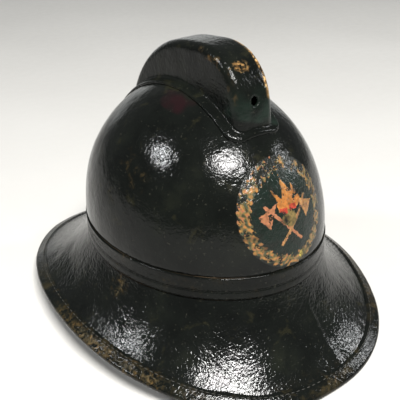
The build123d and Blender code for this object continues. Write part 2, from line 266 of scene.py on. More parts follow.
def varnished_leather(
    name, wear_colour, worn_share, bare_colours, tint=None, pebbled=1.0, gloss=0.16
):
    """Thick black varnish over leather: crazed, speckled, worn through where 'wear' is painted."""
    n = Nodes(name)
    blacks = ((0.0022, 0.0026, 0.0023), (0.0036, 0.0043, 0.0036), (0.007, 0.008, 0.0055))
    patches = n.ramp(n.noise(28, 5, 0.6), (0.35, 0.55, 0.75), blacks)
    olive = n.steps(n.noise(60, 6, 0.65, 0.4), worn_share, worn_share + 0.12)
    varnish = n.mix(n.maths("MULTIPLY", olive, 0.4), patches, wear_colour)
    specks = n.steps(n.noise(420, 3, 0.6), 0.64, 0.72)
    varnish = n.mix(n.maths("MULTIPLY", specks, 0.2), varnish, (0.07, 0.068, 0.05))
    # The 'tint' attribute lays a colour over the varnish: a painted pink reflection on the crown,
    # old green paint on the comb.
    if tint is not None:
        varnish = n.mix(n.attribute("tint"), varnish, tint)
    broken = n.steps(n.noise(300, 6, 0.7, 0.3), 0.44, 0.60)
    worn_edge = n.maths("MULTIPLY", n.attribute("wear"), broken)
    bare = n.ramp(n.noise(210, 4, 0.6), (0.35, 0.5, 0.68), bare_colours)
    colour = n.mix(worn_edge, varnish, bare)
    rough = n.steps(n.noise(90, 5, 0.65), 0.3, 0.7, 0.08, 0.18)
    rough = n.maths("ADD", rough, n.maths("MULTIPLY", worn_edge, 0.35))
    grain = n.bump(n.noise(260, 2, 0.5, 0.2), 0.00017 * pebbled, 0.9)
    pebbles = n.bump(n.noise(560, 2, 0.6), 0.00026 * pebbled, 0.9, grain)
    cells = n.steps(n.voronoi(260, "DISTANCE_TO_EDGE"), 0.0, 0.12)
    craze = n.bump(cells, 0.0001 * pebbled, 0.5, pebbles)
    return n.finish(colour, rough, craze, Specular_IOR_Level=gloss)


def lining_leather(name, dark, light):
    """Aged brown leather: darkened where it was handled, with pores and fine creases."""
    n = Nodes(name)
    browns = (dark, light, tuple(0.7 * c for c in light))
    colour = n.ramp(n.noise(35, 6, 0.65, 0.3), (0.3, 0.55, 0.8), browns)
    stains = n.steps(n.noise(18, 4, 0.6), 0.55, 0.7)
    colour = n.mix(n.maths("MULTIPLY", stains, 0.5), colour, dark)
    rough = n.steps(n.noise(120, 4, 0.6), 0.3, 0.7, 0.48, 0.72)
    creases = n.bump(n.steps(n.voronoi(420, "DISTANCE_TO_EDGE"), 0, 0.15), 0.00015, 0.6)
    pores = n.bump(n.noise(900, 3, 0.6), 0.00015, 0.6, creases)
    return n.finish(colour, rough, pores, Specular_IOR_Level=0.35)


def tarnished_brass(name):
    n = Nodes(name)
    yellows = ((0.10, 0.065, 0.025), (0.36, 0.25, 0.09), (0.55, 0.41, 0.17))
    colour = n.ramp(n.noise(260, 5, 0.65), (0.3, 0.55, 0.8), yellows)
    rough = n.steps(n.noise(500, 4, 0.6), 0.3, 0.7, 0.28, 0.55)
    scratches = n.bump(n.noise(1800, 3, 0.6), 0.00005, 0.5)
    return n.finish(colour, rough, scratches, Metallic=0.9)


def cork(name):
    n = Nodes(name)
    browns = ((0.20, 0.11, 0.05), (0.42, 0.27, 0.14), (0.52, 0.36, 0.20))
    colour = n.ramp(n.voronoi(420), (0.15, 0.45, 0.8), browns)
    flecks = n.steps(n.noise(600, 3, 0.6), 0.60, 0.68)
    colour = n.mix(n.maths("MULTIPLY", flecks, 0.7), colour, (0.10, 0.05, 0.025))
    rough = n.steps(n.noise(300, 3, 0.6), 0.3, 0.7, 0.75, 0.92)
    return n.finish(colour, rough, n.bump(n.voronoi(420), 0.0004, 0.7))


def waxed_thread(name, colour_dark, colour_light):
    n = Nodes(name)
    colour = n.ramp(n.noise(700, 3, 0.6), (0.35, 0.7), (colour_dark, colour_light))
    rough = n.steps(n.noise(900, 2, 0.5), 0.3, 0.7, 0.55, 0.75)
    return n.finish(colour, rough, n.bump(n.noise(2600, 2, 0.6), 0.0001, 0.7))


def floor_cloth(name):
    n = Nodes(name)
    pales = ((0.435, 0.427, 0.41), (0.46, 0.452, 0.435))
    colour = n.ramp(n.noise(3, 3, 0.5), (0.3, 0.7), pales)
    rough = n.steps(n.noise(60, 3, 0.5), 0.3, 0.7, 0.55, 0.7)
    return n.finish(colour, rough, n.bump(n.noise(25, 3, 0.5), 0.001, 0.15))


TAN_LEATHER = ((0.022, 0.018, 0.008), (0.055, 0.04, 0.016), (0.15, 0.09, 0.03))
OLD_GILDING = ((0.16, 0.085, 0.03), (0.42, 0.23, 0.08), (0.60, 0.42, 0.20))
# Painted reflection: the pink laid over the crown's varnish beside the comb.
PINK_REFLECTION_COLOUR = (0.0095, 0.0035, 0.0042)
GREEN_PAINT = (0.0075, 0.0125, 0.0095)
OLIVE_VARNISH = (0.024, 0.022, 0.010)
CROWN_MATERIAL = varnished_leather(
    "crown_varnish", OLIVE_VARNISH, 0.60, TAN_LEATHER, PINK_REFLECTION_COLOUR, pebbled=0.6
)
BRIM_MATERIAL = varnished_leather("brim_varnish", OLIVE_VARNISH, 0.60, TAN_LEATHER, gloss=0.24)
COMB_MATERIAL = varnished_leather(
    "comb_varnish", (0.022, 0.021, 0.010), 0.60, OLD_GILDING, GREEN_PAINT, gloss=0.12
)
BAND_MATERIAL = varnished_leather(
    "band_varnish", (0.02, 0.019, 0.010), 0.66, TAN_LEATHER, gloss=0.12
)
EDGE_MATERIAL = varnished_leather("edge_varnish", (0.035, 0.027, 0.012), 0.54, TAN_LEATHER)
LINING_MATERIAL = lining_leather("lining_leather", (0.055, 0.028, 0.013), (0.21, 0.115, 0.052))
SWEATBAND_MATERIAL = lining_leather("sweatband_leather", (0.04, 0.02, 0.01), (0.16, 0.082, 0.037))
INNER_MATERIAL = lining_leather("inner_leather", (0.02, 0.014, 0.009), (0.085, 0.055, 0.03))
BRASS_MATERIAL = tarnished_brass("tarnished_brass")
CORK_MATERIAL = cork("cork")
THREAD_MATERIAL = waxed_thread("black_thread", (0.006, 0.006, 0.005), (0.03, 0.028, 0.02))
LINEN_MATERIAL = waxed_thread("linen_thread", (0.16, 0.11, 0.06), (0.38, 0.29, 0.17))
FLOOR_MATERIAL = floor_cloth("pale_floor")


# ---- stitches and rivets
def stitches(name, places, length, radius, material):
    """A row of short raised threads as one piece. A place is a spot, a direction and a normal."""
    points, faces = [], []
    sides, rings = 6, 7
    for spot, along, normal in places:
        along = Vector(along).normalized()
        normal = Vector(normal).normalized()
        across = along.cross(normal)
        start = len(points)
        for ring in range(rings):
            share = ring / (rings - 1)
            bow = math.sin(math.pi * share)
            thickness = radius * (0.35 + 0.65 * math.sqrt(bow))
            centre = Vector(spot) + along * (share - 0.5) * length
            centre += normal * radius * (1.1 * bow - 0.7)
            for side in range(sides):
                turn = 2 * math.pi * side / sides
                outwards = across * math.cos(turn) + normal * math.sin(turn)
                points.append(centre + outwards * thickness)
        for face in grid_faces(rings, sides, wrap_columns=True):
            faces.append(tuple(start + index for index in face))
        faces.append(tuple(start + side for side in range(sides)))
        faces.append(tuple(start + (rings - 1) * sides + side for side in reversed(range(sides))))
    return new_piece(name, points, faces, material)


def rivet_group(name, places, head_radius, head_height, shank_length):
    """Domed rivet heads with a short shank, as one piece. A place is a spot and a normal."""
    points, faces = [], []
    sides = 24
    for spot, normal in places:
        normal = Vector(normal).normalized()
        side_axis = normal.orthogonal().normalized()
        other_axis = normal.cross(side_axis)
        profile = [(0.0, head_height)]
        for step in range(1, 8):
            turn = math.pi / 2 * step / 7
            height = head_height * (0.25 + 0.75 * math.cos(turn))
            profile.append((head_radius * math.sin(turn), height))
        profile += [(head_radius * 0.97, 0.0), (SHANK_RADIUS, 0.0)]
        profile += [(SHANK_RADIUS, -shank_length), (0.0, -shank_length)]
        start = len(points)
        for reach, height in profile:
            for side in range(sides):
                turn = 2 * math.pi * side / sides
                outwards = side_axis * math.cos(turn) + other_axis * math.sin(turn)
                points.append(Vector(spot) + outwards * reach + normal * height)
        for face in grid_faces(len(profile), sides, wrap_columns=True):
            faces.append(tuple(start + index for index in face))
    return new_piece(name, points, faces, BRASS_MATERIAL)


# ---- crown
CROWN_SIZES = (HALF_WIDTH, HALF_LENGTH, DOME_HEIGHT)


def dome_point(angle, rise, sizes=CROWN_SIZES):
    """Point on a dome: degrees from the front, and rise from 0 at its base to 1 at its top."""
    half_width, half_length, height = sizes
    turn = math.radians(angle)
    reach = math.sqrt(max(0.0, 1 - rise**DOME_POWER))
    side, fore = reach * math.sin(turn), reach * math.cos(turn)
    level = CROWN_BASE + height * rise
    return Vector((half_width * side, HEAD_Y - half_length * fore, level))


def dome_normal(spot, sizes=CROWN_SIZES):
    half_width, half_length, height = sizes
    rise = max(0.0, (spot.z - CROWN_BASE) / height)
    across, along = 2 * spot.x / half_width**2, 2 * (spot.y - HEAD_Y) / half_length**2
    up = DOME_POWER * rise ** (DOME_POWER - 1) / height
    return Vector((across, along, up)).normalized()


SKIN_LIFT = 0.55 * MM
SKIN_BURIAL = -1.2 * MM
BASE_FADE = 6 * MM
# Centre of the painted pink reflection on the crown.
PINK_REFLECTION_SPOT = Vector((-32 * MM, HEAD_Y - 17 * MM, 189 * MM))
THIN_PATCH = Vector((-74 * MM, HEAD_Y - 21 * MM, 148 * MM))


def crown_wear(spot):
    """Thin varnish: a loose cluster of olive specks on the wearer's right."""
    thin = max(0.0, 1 - (spot - THIN_PATCH).length / (20 * MM))
    broken = max(0.0, noise.noise(spot / (7 * MM)))
    return min(0.35, 1.1 * thin * broken)


def crown_painted_reflection(spot):
    """Painted reflection: a pink reflection laid into the varnish beside the comb's foot, on the
    wearer's right.
    """
    away = spot - PINK_REFLECTION_SPOT
    near = 1 - math.hypot(away.x / 10, away.y / 22, away.z / 10) / MM
    if near <= 0:
        return 0.0
    return clamp(1.2 * near + 0.7 * noise.noise(spot / (9 * MM)), high=0.85)


def dome_relief(spot):
    """Relief of the crown's skin, which fades towards the dome's base."""
    fade = min(1.0, (spot.z - CROWN_BASE) / BASE_FADE)
    return leather_relief(spot) * (0.3 + 0.7 * fade)


def make_crown_skin():
    """Varnish and leather surface over the whole dome, a closed skin sunk into the CAD crown."""
    columns, rows = 420, 190
    points = []
    for layer in (0, 1):
        for row in range(rows):
            turn = math.pi / 2 * row / (rows - 1)
            rise = math.sin(turn)
            for column in range(columns):
                spot = dome_point(360 * column / columns, rise)
                lift = SKIN_BURIAL
                if layer == 0:
                    groove = -0.5 * MM * math.exp(-((rise * DOME_HEIGHT / (1.6 * MM)) ** 2))
                    lift = SKIN_LIFT + groove + dome_relief(spot)
                points.append(spot + dome_normal(spot) * lift)
    outer = grid_faces(rows, columns, wrap_columns=True)
    faces = closed_skin(outer, list(range(columns)), rows * columns)
    skin = new_piece("crown_skin", points, faces, CROWN_MATERIAL)
    paint_attribute(skin, "wear", crown_wear)
    # The crown's tint attribute holds the painted pink reflection.
    paint_attribute(skin, "tint", crown_painted_reflection)


make_crown_skin()


# ---- brim
Flare = namedtuple("Flare", "root outward centre radius start end")


def flare(angle):
    """The brim's curve at an angle from the front: root, outward direction, and its arc."""
    turn = math.radians(angle)
    side, fore = math.sin(turn), math.cos(turn)
    root = Vector((HALF_WIDTH * side, HEAD_Y - HALF_LENGTH * fore, BRIM_ROOT))
    reach = FRONT_REACH if fore > 0 else REAR_REACH
    outline_x = BRIM_HALF_WIDTH * math.copysign(abs(side) ** EDGE_FULLNESS, side)
    edge = Vector((outline_x, HEAD_Y - reach * fore, BRIM_ROOT))
    outward = (edge - root).normalized()
    span = (edge - root).length - BINDING_RADIUS
    drop = SIDE_RISE * (1 - fore**2) + BINDING_RADIUS - BRIM_ROOT
    chord = math.hypot(span, drop)
    sag = BRIM_SAG_SHARE * chord
    radius = (chord**2 / 4 + sag**2) / (2 * sag)
    rise = radius - sag
    centre = (span / 2 - rise * drop / chord, drop / 2 + rise * span / chord)
    start = math.atan2(-centre[1], -centre[0])
    end = math.atan2(drop - centre[1], span - centre[0])
    return Flare(root, outward, centre, radius, start, end)


def arc_length(shape):
    return shape.radius * (shape.end - shape.start)


def brim_warp(point):
    """Slow unevenness of the whole brim, the same for every layer of it."""
    return ripple(point, 70 * MM, 1.1 * MM, 41) + ripple(point, 26 * MM, 0.35 * MM, 47)


def brim_point(shape, share, height, nose_turn=None):
    """Point of the brim: share 0 at the crown to 1 at the edge, height above its middle."""
    root, outward, centre, radius, start, end = shape
    turn = start + (end - start) * share
    up = Vector((-math.cos(turn) * outward.x, -math.cos(turn) * outward.y, -math.sin(turn)))
    along = Vector((-math.sin(turn) * outward.x, -math.sin(turn) * outward.y, math.cos(turn)))
    middle = root + outward * (centre[0] + radius * math.cos(turn))
    middle.z += centre[1] + radius * math.sin(turn)
    warp = brim_warp(middle) * min(1.0, share * 4)
    if nose_turn is None:
        return middle + up * (warp + height)
    rolled = along * height * math.sin(nose_turn)
    return middle + up * (warp + height * math.cos(nose_turn)) + rolled


FRONT_CREASE_ANGLE = 6.0
FRONT_CREASE_HEIGHT = 0.9 * MM
SEAM_SWELL = 0.3 * MM
SEAM_GAP = 0.03


def brim_top_relief(point, angle, share, first, last):
    """Grain of the brim's upper face, its front crease, and the swelling beside each seam."""
    relief = leather_relief(point, 91)
    width = 1.1 + 0.6 * share
    crease = FRONT_CREASE_HEIGHT * math.exp(-(((angle - FRONT_CREASE_ANGLE) / width) ** 2))
    crease *= clamp((share - 0.15) * 5)
    from_seam = min(abs(angle - first), abs(angle - last))
    pressed = max(0.0, 1 - 3.5 * max(0.0, share - 0.08))
    swell = SEAM_SWELL * pressed * math.exp(-((from_seam / 2.2) ** 2))
    return relief + crease + swell


def make_brim_leaf(name, first, last, node):
    """One length of the brim, from a little inside the crown's wall to inside the binding."""
    columns = int((last - first) * 1.6)
    top_rows, under_rows = 54, 40
    points = []
    for column in range(columns):
        angle = first + SEAM_GAP / 2 + (last - first - SEAM_GAP) * column / (columns - 1)
        shape = flare(angle)
        for row in range(top_rows):
            share = -0.04 + 1.03 * row / (top_rows - 1)
            spot = brim_point(shape, share, 0)
            relief = brim_top_relief(spot, angle, share, first, last)
            height = BRIM_MID_HALF + 0.4 * relief
            height += 0.6 * relief * clamp((0.97 - share) * 8)
            points.append(brim_point(shape, share, height))
        for row in range(under_rows):
            share = 0.99 - 1.03 * row / (under_rows - 1)
            relief = leather_relief(brim_point(shape, share, 0), 63)
            points.append(brim_point(shape, share, -BRIM_MID_HALF - 0.5 * relief))
    ring = top_rows + under_rows
    faces = grid_faces(columns, ring, wrap_columns=True)
    for column, order in ((0, 1), (columns - 1, -1)):
        faces.append(tuple(column * ring + index for index in range(ring))[::order])
    leaf = new_piece(name, points, faces, BRIM_MATERIAL)
    paint_attribute(leaf, "wear", brim_wear)
    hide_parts(node)


RUBBED_PATCH = Vector((-95 * MM, HEAD_Y - 21 * MM, 56 * MM))


def brim_wear(spot):
    """Varnish rubbed thin towards the edge, more on the wearer's right."""
    level = max(0.0, 1 - spot.z / (16 * MM))
    side = 0.5 if spot.x > 0 else 0.75
    rubbed = max(0.0, 1 - (spot - RUBBED_PATCH).length / (11 * MM))
    rubbed *= max(0.0, 0.4 + 2 * noise.noise(spot / (4 * MM)))
    return min(0.8, 0.2 * level * side + rubbed)


BINDING_FACE_STEPS = 16
BINDING_NOSE_STEPS = 12
BINDING_THICKNESS = 1.15 * MM


def binding_face(shape, first_share, side, relief_share, shift):
    """Outer and inner points of the strip on one face of the brim, from its lap to the edge."""
    outer, inner = [], []
    for step in range(BINDING_FACE_STEPS + 1):
        progress = step / BINDING_FACE_STEPS
        share = first_share + (1 - first_share) * progress
        spot = brim_point(shape, share, side * BINDING_RADIUS)
        feather = min(1.0, 0.25 + 2.4 * progress)
        lift = BINDING_RADIUS - BINDING_THICKNESS * (1 - feather)
        lift += relief_share * leather_relief(spot, shift)
        outer.append(brim_point(shape, share, side * lift))
        inner.append(brim_point(shape, share, side * (BINDING_RADIUS - BINDING_THICKNESS)))
    return outer, inner


def make_binding(name, first, last, node):
    """Leather strip folded round the brim's edge, with a rolled nose and feathered laps."""
    columns = int((last - first) * 1.9)
    ring = 2 * (BINDING_FACE_STEPS + 1) + BINDING_NOSE_STEPS - 1
    points = []
    for column in range(columns):
        angle = first + (last - first) * column / (columns - 1)
        shape = flare(angle)
        lap = BINDING_LAP * (1 + 0.10 * noise.noise(Vector((angle * 0.11, 3.1, 0))))
        first_share = 1 - lap / arc_length(shape)
        outer, inner = binding_face(shape, first_share, 1, 0.8, 17)
        for step in range(1, BINDING_NOSE_STEPS):
            nose = math.pi * step / BINDING_NOSE_STEPS
            spot = brim_point(shape, 1, BINDING_RADIUS, nose)
            lift = BINDING_RADIUS + 0.5 * leather_relief(spot, 17)
            outer.append(brim_point(shape, 1, lift, nose))
            inner.append(brim_point(shape, 1, BINDING_RADIUS - BINDING_THICKNESS, nose))
        under_outer, under_inner = binding_face(shape, first_share, -1, 0.4, 23)
        outer += under_outer[::-1]
        inner += under_inner[::-1]
        points += outer + inner[::-1]
    loop = 2 * ring
    faces = grid_faces(columns, loop, wrap_columns=True)
    for column, flip in ((0, False), (columns - 1, True)):
        base = column * loop
        for step in range(ring - 1):
            near, far = base + step, base + loop - 1 - step
            cap = (near, near + 1, far - 1, far)
            faces.append(cap[::-1] if flip else cap)
    strip = new_piece(name, points, faces, EDGE_MATERIAL)
    paint_attribute(strip, "wear", edge_wear)
    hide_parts(node)


def edge_wear(spot):
    """Wear of the binding: strongest on the lowest, outermost part of the roll."""
    angle = math.degrees(math.atan2(spot.x / BRIM_HALF_WIDTH, -(spot.y - HEAD_Y) / FRONT_REACH))
    shape = flare(angle)
    edge = shape.root + shape.outward * (shape.centre[0] + shape.radius * math.cos(shape.end))
    reach = math.hypot(spot.x - edge.x, spot.y - edge.y)
    close = max(0.0, 1 - reach / (7 * MM))
    patchy = 0.5 + 1.0 * noise.noise(Vector(spot) / (16 * MM))
    return clamp(close * 0.9 * patchy, high=0.8)


make_brim_leaf("front_peak_leather", -SEAM_ANGLE, SEAM_ANGLE, "front_peak")
make_brim_leaf("neck_guard_leather", SEAM_ANGLE, 360 - SEAM_ANGLE, "neck_guard")
make_binding("edge_strip_front", -SEAM_ANGLE, SEAM_ANGLE, "edge_binding_front")
make_binding("edge_strip_rear", SEAM_ANGLE, 360 - SEAM_ANGLE, "edge_binding_rear")


EDGE_STITCHES = 200
EDGE_STITCH_INSET = 2.6 * MM
EDGE_STITCH_LIFT = 0.05 * MM


def lap_share(shape):
    """Where the edge stitches lie, as a share of the brim's arc."""
    return 1 - (BINDING_LAP - EDGE_STITCH_INSET) / arc_length(shape)


def make_edge_stitches(label, side):
    """Stitches that follow the brim's edge, on its upper face (side 1) or its under face (-1)."""
    height = side * (BINDING_RADIUS + EDGE_STITCH_LIFT)
    places = []
    for index in range(EDGE_STITCHES):
        angle = 360 * (index + 0.5) / EDGE_STITCHES
        shape, ahead = flare(angle), flare(angle + 0.3)
        spot = brim_point(shape, lap_share(shape), height)
        along = brim_point(ahead, lap_share(ahead), height) - spot
        outwards = brim_point(shape, lap_share(shape), height + side * MM) - spot
        places.append((spot, along, outwards))
    row = stitches(f"edge_stitches_{label}", places, 3.0 * MM, 0.33 * MM, THREAD_MATERIAL)


make_edge_stitches("upper", 1)
make_edge_stitches("under", -1)


# ---- hat band
# (share of the band's height from its top, thickness in mm)
BAND_PROFILE = [
    (0.005, 0.15), (0.0, 0.7), (0.012, 1.25), (0.04, 1.55), (0.10, 1.62), (0.16, 1.5),
    (0.30, 1.38), (0.45, 1.36), (0.57, 1.42), (0.61, 1.25), (0.635, 0.95), (0.66, 1.22),
    (0.70, 1.5), (0.80, 1.62), (0.90, 1.7), (0.96, 1.62), (0.99, 1.3), (1.0, 0.8), (0.995, 0.15),
]


def oval_wall(turn, half_width, half_length):
    """Point at level 0 of an upright oval wall round the head, and the wall's normal there."""
    side, fore = math.sin(turn), math.cos(turn)
    wall = Vector((half_width * side, HEAD_Y - half_length * fore, 0))
    return wall, Vector((side / half_width, -fore / half_length, 0)).normalized()


def band_wear(spot):
    return 0.12 * max(0.0, noise.noise(Vector(spot) / (12 * MM)))


def make_hat_band():
    """Leather band round the crown, with a rolled top edge, a crease and a turned lower edge."""
    columns = 460
    height = band_hi[2] - band_lo[2]
    points = []
    for column in range(columns):
        turn = 2 * math.pi * column / columns
        wall, normal = oval_wall(turn, HALF_WIDTH, HALF_LENGTH)
        sway = 0.5 * MM * noise.noise(Vector((math.sin(turn), math.cos(turn), 0.4)) * 2.2)
        for share, thickness in BAND_PROFILE:
            level = Vector((0, 0, band_hi[2] - height * share))
            spot = wall + normal * thickness * MM + level
            relief = 0.55 * leather_relief(spot, 131) if thickness > 0.9 else 0
            crease_sway = sway * math.sin(math.pi * share)
            points.append(spot + normal * relief + Vector((0, 0, crease_sway)))
    faces = grid_faces(columns, len(BAND_PROFILE), wrap_rows=True, wrap_columns=True)
    band = new_piece("hat_band_leather", points, faces, BAND_MATERIAL)
    paint_attribute(band, "wear", band_wear)
    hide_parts("hat_band")


make_hat_band()


# ---- comb
def remeshed_copy(name, node, voxel, smooth_steps, material):
    """A softened copy of a CAD node: evenly meshed, with its sharp edges rounded as leather is."""
    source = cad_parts[node]
    piece = bpy.data.objects.new(name, source.data.copy())
    bpy.context.scene.collection.objects.link(piece)
    piece.data.transform(source.matrix_world)
    merge_points(piece.data, 2e-6)
    remesh = piece.modifiers.new("remesh", "REMESH")
    remesh.mode = "VOXEL"
    remesh.voxel_size = voxel
    soften = piece.modifiers.new("soften", "SMOOTH")
    soften.factor = 0.5
    soften.iterations = smooth_steps
    depsgraph = bpy.context.evaluated_depsgraph_get()
    mesh = bpy.data.meshes.new_from_object(piece.evaluated_get(depsgraph))
    piece.modifiers.clear()
    piece.data = mesh
    mesh.materials.clear()
    mesh.materials.append(material)
    for polygon in mesh.polygons:
        polygon.use_smooth = True
    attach(piece, BODY)
    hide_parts(node)
    return piece


def push_out(piece, height_at):
    """Move every vertex along its own normal by a height worked out from where it is."""
    vertices = piece.data.vertices
    moves = [vertex.normal * height_at(vertex.co) for vertex in vertices]
    for vertex, move in zip(vertices, moves):
        vertex.co += move
    piece.data.update()


def comb_outline(piece):
    """The comb's highest point in each slice of its length, and its foremost at each level."""
    tops, fronts = {}, {}
    for vertex in piece.data.vertices:
        row, level = round(vertex.co.y / COMB_SLICE), round(vertex.co.z / COMB_SLICE)
        tops[row] = max(tops.get(row, vertex.co.z), vertex.co.z)
        fronts[level] = min(fronts.get(level, vertex.co.y), vertex.co.y)
    return tops, fronts


def comb_depth(spot):
    """How far a place on the comb lies in from its outline, seen from the side."""
    tops, fronts = comb_edges
    row, level = round(spot.y / COMB_SLICE), round(spot.z / COMB_SLICE)
    return min(tops[row] - spot.z, spot.y - fronts[level])


def comb_wear(spot):
    """Gilding left along the comb's left front corner, with a small patch and specks beside it."""
    forward = clamp((comb_lo[1] + 54 * MM - spot.y) / (22 * MM))
    height = clamp((spot.z - comb_lo[2] - 38 * MM) / (12 * MM))
    from_corner = abs(spot.x - COMB_HALF_WIDTH + 1.5 * MM)
    streak = max(0.0, 1 - from_corner / (4.5 * MM)) * (1.0 + 1.6 * noise.noise(spot / (9 * MM)))
    streak *= clamp((7 * MM - comb_depth(spot)) / (3.5 * MM))
    away = spot - COMB_PATCH
    patch = 1.5 - math.hypot(away.x / 5.0, away.z / 2.6, away.y / 4.0) / MM
    patch = max(0.0, patch + 0.9 * noise.noise(spot / (3 * MM)))
    right_edge = 0.25 * max(0.0, 1 - abs(spot.x + COMB_HALF_WIDTH) / (3 * MM))
    right_edge *= max(0.0, noise.noise(spot / (8 * MM)) * 3) * (comb_depth(spot) < 8 * MM)
    return clamp(forward * height * max(2.2 * streak, patch, right_edge))


def comb_tint(spot):
    """Old green paint that shows through on the comb's nose, round and below its vent hole."""
    forward = clamp((comb_lo[1] + 20 * MM - spot.y) / (6 * MM))
    height = clamp((VENT_HOLE_LEVEL + 12 * MM - spot.z) / (16 * MM))
    # Painted shade: the patch stops at a slanting lower edge, so the black below it stands in for
    # the shadow under the nose's lip.
    lower_edge = VENT_HOLE_LEVEL - 16 * MM - 0.3 * spot.x
    height *= clamp((spot.z - lower_edge) / (2.5 * MM))
    patchy = 0.65 + 0.9 * noise.noise(spot / (8 * MM))
    return clamp(forward * height * patchy)


COMB_HALF_WIDTH = 16.5 * MM
VENT_HOLE_LEVEL = 195.5 * MM
COMB_SLICE = 2 * MM
COMB_PATCH = Vector((-4 * MM, HEAD_Y - 54.2 * MM, 218.7 * MM))
comb = remeshed_copy(
    "comb_leather", "comb_shell", 0.75 * MM, 16, COMB_MATERIAL
)
push_out(comb, lambda spot: 0.2 * MM + 0.9 * leather_relief(spot, 211))
comb_edges = comb_outline(comb)
paint_attribute(comb, "wear", comb_wear)
paint_attribute(comb, "tint", comb_tint)


# ---- sweatband and liner
HEAD_HALF_LENGTH = (sweat_hi[1] - sweat_lo[1]) / 2 - SWEATBAND_THICKNESS
HEAD_HALF_WIDTH = (sweat_hi[0] - sweat_lo[0]) / 2 - SWEATBAND_THICKNESS


def head_wall(angle, level, outwards):
    """Point on the sweatband's inner wall, moved outwards, and the wall's normal there."""
    wall, normal = oval_wall(math.radians(angle), HEAD_HALF_WIDTH, HEAD_HALF_LENGTH)
    return wall + normal * outwards + Vector((0, 0, level)), normal


def make_sweatband():
    """Leather headband with rounded edges, and a row of stitches along each of them."""
    columns, rows = 360, 22
    points = []
    for column in range(columns):
        angle = 360 * column / columns
        layers = []
        for layer in (0, 1):
            side = []
            for row in range(rows):
                share = row / (rows - 1)
                level = sweat_lo[2] + (sweat_hi[2] - sweat_lo[2]) * share
                rounding = 0.45 * MM * (1 - min(1.0, min(share, 1 - share) * 14)) ** 2
                spot, normal = head_wall(angle, level, layer * SWEATBAND_THICKNESS)
                waviness = ripple(spot, 30 * MM, 0.35 * MM, 301)
                waviness += ripple(spot, 7 * MM, 0.12 * MM, 305)
                offset = (rounding if layer == 0 else -rounding) + 0.5 * waviness
                side.append(spot + normal * offset)
            layers.append(side)
        points += layers[0] + layers[1][::-1]
    faces = grid_faces(columns, 2 * rows, wrap_rows=True, wrap_columns=True)
    band = new_piece("sweatband_leather", points, faces, SWEATBAND_MATERIAL)
    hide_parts("sweatband")
    for label, level in (("low", sweat_lo[2] + 3 * MM), ("high", sweat_hi[2] - 3 * MM)):
        places = []
        count = 130
        for index in range(count):
            spot, normal = head_wall(360 * index / count, level, 0.05 * MM)
            places.append((spot, normal.cross(Vector((0, 0, 1))), -normal))
        name = f"sweatband_stitches_{label}"
        row = stitches(name, places, 2.6 * MM, 0.32 * MM, LINEN_MATERIAL)


make_sweatband()

LINER_HALF_LENGTH = HEAD_HALF_LENGTH - 0.5 * MM
LINER_HALF_WIDTH = HEAD_HALF_WIDTH - 0.5 * MM
LINER_SIZES = (LINER_HALF_WIDTH, LINER_HALF_LENGTH, disc_lo[2] - 0.3 * MM - CROWN_BASE)
TONGUE_DROP = 5.6 * MM
TONGUE_TIP_HALF = 2.5 * MM


def liner_point(angle, rise, drop, inwards):
    """Point on the liner's dome, lowered by drop and moved inwards."""
    spot = dome_point(angle, rise, LINER_SIZES)
    return spot - dome_normal(spot, LINER_SIZES) * inwards - Vector((0, 0, drop))


def make_tongue(number):
    """One leather tongue of the liner: broad at the sweatband, narrow under the crown disc."""
    middle = (number - 0.5) * 360 / TONGUE_COUNT
    rows, columns = 60, 26
    turn = math.radians(middle)
    root_reach = math.hypot(LINER_HALF_WIDTH * math.sin(turn), LINER_HALF_LENGTH * math.cos(turn))
    top_rise = (1 - (TONGUE_TIP_RADIUS / root_reach) ** 2) ** (1 / DOME_POWER)
    spread = math.tan(math.radians(TONGUE_HALF_ANGLE)) * 0.96
    layers = []
    for layer in (0, 1):
        side = []
        for row in range(rows):
            progress = row / (rows - 1)
            drop = TONGUE_DROP * max(0.0, 1 - progress * 8)
            climb = max(0.0, (progress - 0.125) / 0.875)
            rise = top_rise * math.sin(climb * math.pi / 2)
            reach = root_reach * math.sqrt(max(1e-6, 1 - rise**DOME_POWER))
            half_width = TONGUE_TIP_HALF + max(0.0, reach - TONGUE_TIP_RADIUS) * spread
            half_angle = min(TONGUE_HALF_ANGLE, math.degrees(math.atan2(half_width, reach)))
            for column in range(columns):
                across = 2 * column / (columns - 1) - 1
                angle = middle + half_angle * across
                edge = max(0.0, (abs(across) - 0.9) * 10)
                slack = 1.6 * MM * math.sin(math.pi * climb) * (1 - across**2)
                spot = liner_point(angle, rise, drop, slack)
                crumple = ripple(spot, 24 * MM, 0.5 * MM, 400 + number)
                crumple += ripple(spot, 6 * MM, 0.12 * MM, 430)
                depth = layer - 0.5 * edge * (2 * layer - 1) * 0.6
                inwards = 0.1 * MM + (TONGUE_THICKNESS - 0.2 * MM) * depth + slack
                side.append(liner_point(angle, rise, drop, inwards + crumple * 0.6))
        layers.append(side)
    points = layers[0] + layers[1]
    loop = list(range(columns)) + [r * columns + columns - 1 for r in range(1, rows)]
    loop += [(rows - 1) * columns + c for c in range(columns - 2, -1, -1)]
    loop += [r * columns for r in range(rows - 2, 0, -1)]
    faces = closed_skin(grid_faces(rows, columns), loop, rows * columns)
    tongue = new_piece(f"tongue_leather_{number}", points, faces, LINING_MATERIAL)
    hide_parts(f"liner_tongue_{number}")


for tongue_number in range(1, TONGUE_COUNT + 1):
    make_tongue(tongue_number)


